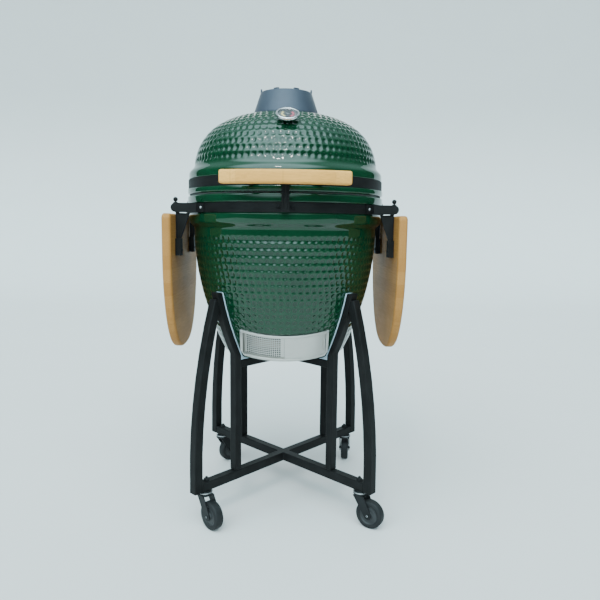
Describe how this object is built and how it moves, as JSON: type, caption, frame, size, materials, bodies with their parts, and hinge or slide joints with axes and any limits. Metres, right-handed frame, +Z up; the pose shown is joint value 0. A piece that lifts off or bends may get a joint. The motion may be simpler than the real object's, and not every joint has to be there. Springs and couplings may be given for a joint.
{
  "type": "ceramic charcoal grill on a caster stand",
  "caption": "Egg-shaped ceramic charcoal grill with a hinged dome, draft door, damper, folding bamboo shelves and a four-caster stand.",
  "frame": {"origin": "on the bowl's vertical axis at floor level, under the centre of the stand's cross", "axes": "+Z up, -Y towards the front with the handle and draft door, +X to the right seen from the front"},
  "size_m": [0.617, 0.6606, 1.1668],
  "materials": {
    "green_glaze": "deep green high-gloss glaze over a dimpled ceramic body",
    "fire_clay": "unglazed refractory clay, matte",
    "cast_iron": "dark blue-grey cast iron, satin enamel",
    "black_steel": "near-black powder coat, fine satin texture",
    "caster_steel": "black satin pressed steel",
    "stainless": "brushed stainless steel",
    "polished_steel": "polished stainless steel",
    "bamboo": "edge-glued bamboo, thin satin oil",
    "felt": "compressed high-temperature felt",
    "pad": "woven heat-resistant tape, pale blue-grey",
    "tyre_rubber": "black rubber tread on a dark grey core",
    "dial_glass": "clear flat glass"
  },
  "bodies": {
    "grill_base": {"base_bowl": "green_glaze", "firebox": "fire_clay", "fire_ring": "fire_clay", "charcoal_grate": "cast_iron", "rim_gasket": "felt", "base_band": "black_steel", "draft_door_frame": "stainless", "hinge_pin": "stainless", "hinge_base_bracket": "black_steel", "latch_keeper": "black_steel", "lower_cross": "black_steel", "upper_cross": "black_steel", "shelf_bracket_front_left": "black_steel", "leg_front_left": "black_steel", "post_front_left": "black_steel", "cradle_pad_front_left": "pad", "shelf_bracket_front_right": "black_steel", "leg_front_right": "black_steel", "post_front_right": "black_steel", "cradle_pad_front_right": "pad", "shelf_bracket_rear_left": "black_steel", "leg_rear_left": "black_steel", "post_rear_left": "black_steel", "cradle_pad_rear_left": "pad", "shelf_bracket_rear_right": "black_steel", "leg_rear_right": "black_steel", "post_rear_right": "black_steel", "cradle_pad_rear_right": "pad"},
    "lid": {"dome_lid": "green_glaze", "lid_band": "black_steel", "hinge_lid_bracket": "black_steel", "handle_bar": "bamboo", "handle_bracket": "black_steel", "thermometer_case": "polished_steel", "thermometer_lens": "dial_glass", "chimney_body": "cast_iron"},
    "damper": {"chimney_damper": "cast_iron"},
    "latch": {"latch_strap": "black_steel"},
    "draft_screen": {"draft_screen_panel": "stainless"},
    "draft_solid": {"draft_solid_panel": "stainless"},
    "cooking_grate": {"cooking_grate": "stainless"},
    "shelf_left": {"shelf_board_left": "bamboo", "shelf_arm_front_left": "black_steel", "shelf_arm_rear_left": "black_steel"},
    "shelf_right": {"shelf_board_right": "bamboo", "shelf_arm_front_right": "black_steel", "shelf_arm_rear_right": "black_steel"},
    "lock_front_left": {"lock_pin_front_left": "black_steel"},
    "lock_front_right": {"lock_pin_front_right": "black_steel"},
    "lock_rear_left": {"lock_pin_rear_left": "black_steel"},
    "lock_rear_right": {"lock_pin_rear_right": "black_steel"},
    "swivel_front_left": {"caster_fork_front_left": "caster_steel"},
    "wheel_front_left": {"caster_wheel_front_left": "tyre_rubber"},
    "swivel_front_right": {"caster_fork_front_right": "caster_steel"},
    "wheel_front_right": {"caster_wheel_front_right": "tyre_rubber"},
    "swivel_rear_right": {"caster_fork_rear_right": "caster_steel"},
    "wheel_rear_right": {"caster_wheel_rear_right": "tyre_rubber"},
    "swivel_rear_left": {"caster_fork_rear_left": "caster_steel"},
    "wheel_rear_left": {"caster_wheel_rear_left": "tyre_rubber"}
  },
  "joints": [
    {"name": "lid_hinge", "type": "hinge", "parent": "grill_base", "child": "lid", "pos_m": [0, 0.314, 0.8725], "axis": [-1, 0, 0], "range_deg": [0, 75]},
    {"name": "damper_turn", "type": "hinge", "parent": "lid", "child": "damper", "pos_m": [0, 0, 1.15206], "axis": [0, 0, 1], "range_deg": [0, 36]},
    {"name": "latch_swing", "type": "hinge", "parent": "lid", "child": "latch", "pos_m": [0, -0.287, 0.899], "axis": [-1, 0, 0], "range_deg": [-3.8, 40]},
    {"name": "draft_screen_slide", "type": "hinge", "parent": "grill_base", "child": "draft_screen", "pos_m": [0, 0.00305, 0.54506], "axis": [0, -0.3338, 0.9426], "range_deg": [0, 31.8]},
    {"name": "draft_solid_slide", "type": "hinge", "parent": "grill_base", "child": "draft_solid", "pos_m": [0, 0.00305, 0.54506], "axis": [0, -0.3338, 0.9426], "range_deg": [-31.8, 0]},
    {"name": "grate_lift", "type": "slide", "parent": "grill_base", "child": "cooking_grate", "axis": [0, 0, 1], "range_m": [0, 0.055]},
    {"name": "shelf_left_fold", "type": "hinge", "parent": "grill_base", "child": "shelf_left", "pos_m": [-0.285, 0, 0.837], "axis": [0, 1, 0], "range_deg": [0, 90]},
    {"name": "shelf_right_fold", "type": "hinge", "parent": "grill_base", "child": "shelf_right", "pos_m": [0.285, 0, 0.837], "axis": [0, -1, 0], "range_deg": [0, 90]},
    {"name": "lock_pull_front_left", "type": "slide", "parent": "grill_base", "child": "lock_front_left", "axis": [0, 0, 1], "range_m": [0, 0.012], "stiffness_N_per_m": 200, "springref_m": -0.005},
    {"name": "lock_pull_front_right", "type": "slide", "parent": "grill_base", "child": "lock_front_right", "axis": [0, 0, 1], "range_m": [0, 0.012], "stiffness_N_per_m": 200, "springref_m": -0.005},
    {"name": "lock_pull_rear_left", "type": "slide", "parent": "grill_base", "child": "lock_rear_left", "axis": [0, 0, 1], "range_m": [0, 0.012], "stiffness_N_per_m": 200, "springref_m": -0.005},
    {"name": "lock_pull_rear_right", "type": "slide", "parent": "grill_base", "child": "lock_rear_right", "axis": [0, 0, 1], "range_m": [0, 0.012], "stiffness_N_per_m": 200, "springref_m": -0.005},
    {"name": "swivel_turn_front_left", "type": "hinge", "parent": "grill_base", "child": "swivel_front_left", "pos_m": [-0.20647, -0.20647, 0.09], "axis": [0, 0, 1], "continuous": true},
    {"name": "wheel_turn_front_left", "type": "hinge", "parent": "swivel_front_left", "child": "wheel_front_left", "pos_m": [-0.1864, -0.22877, 0.0375], "axis": [0.7431, 0.6691, 0], "continuous": true},
    {"name": "swivel_turn_front_right", "type": "hinge", "parent": "grill_base", "child": "swivel_front_right", "pos_m": [0.20647, -0.20647, 0.09], "axis": [0, 0, 1], "continuous": true},
    {"name": "wheel_turn_front_right", "type": "hinge", "parent": "swivel_front_right", "child": "wheel_front_right", "pos_m": [0.23105, -0.22368, 0.0375], "axis": [0.5736, 0.8192, 0], "continuous": true},
    {"name": "swivel_turn_rear_right", "type": "hinge", "parent": "grill_base", "child": "swivel_rear_right", "pos_m": [0.20647, 0.20647, 0.09], "axis": [0, 0, 1], "continuous": true},
    {"name": "wheel_turn_rear_right", "type": "hinge", "parent": "swivel_rear_right", "child": "wheel_rear_right", "pos_m": [0.21065, 0.23618, 0.0375], "axis": [-0.9903, 0.1392, 0], "continuous": true},
    {"name": "swivel_turn_rear_left", "type": "hinge", "parent": "grill_base", "child": "swivel_rear_left", "pos_m": [-0.20647, 0.20647, 0.09], "axis": [0, 0, 1], "continuous": true},
    {"name": "wheel_turn_rear_left", "type": "hinge", "parent": "swivel_rear_left", "child": "wheel_rear_left", "pos_m": [-0.18349, 0.22576, 0.0375], "axis": [-0.6428, 0.766, 0], "continuous": true}
  ]
}
